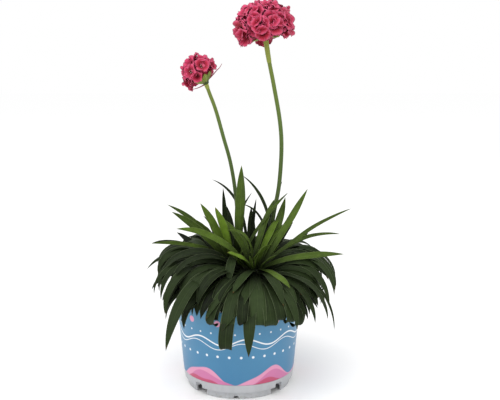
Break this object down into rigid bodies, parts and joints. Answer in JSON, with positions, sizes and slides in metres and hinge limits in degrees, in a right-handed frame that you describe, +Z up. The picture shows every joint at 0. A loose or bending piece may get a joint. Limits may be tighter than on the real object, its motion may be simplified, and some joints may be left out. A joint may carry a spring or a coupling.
{
  "type": "potted broadleaf thrift",
  "caption": "Flowering perennial in a round plastic pot: an arching cushion of strap leaves with round red flower heads on slender upright stems.",
  "frame": {"origin": "on the pot's axis, at the surface that the pot stands on", "axes": "+Z up along the pot's axis; -Y is the side that the picture shows"},
  "size_m": [0.2118, 0.2049, 0.3889],
  "materials": {
    "pot_plastic": "moulded polypropylene, satin",
    "printed_film": "printed film, satin",
    "compost": "rough, crumbly",
    "old_leaf": "satin, faintly ribbed",
    "young_leaf": "satin, faintly ribbed",
    "stem_green": "satin",
    "petal": "velvety"
  },
  "bodies": {
    "root": {"pot": "pot_plastic", "printed_label": "printed_film", "soil": "compost", "leaf_cushion": "old_leaf", "young_leaves": "young_leaf", "flower_stem_tall": "stem_green", "flower_stem_short": "stem_green", "flower_head_tall": "petal", "flower_head_short": "petal"}
  },
  "joints": []
}
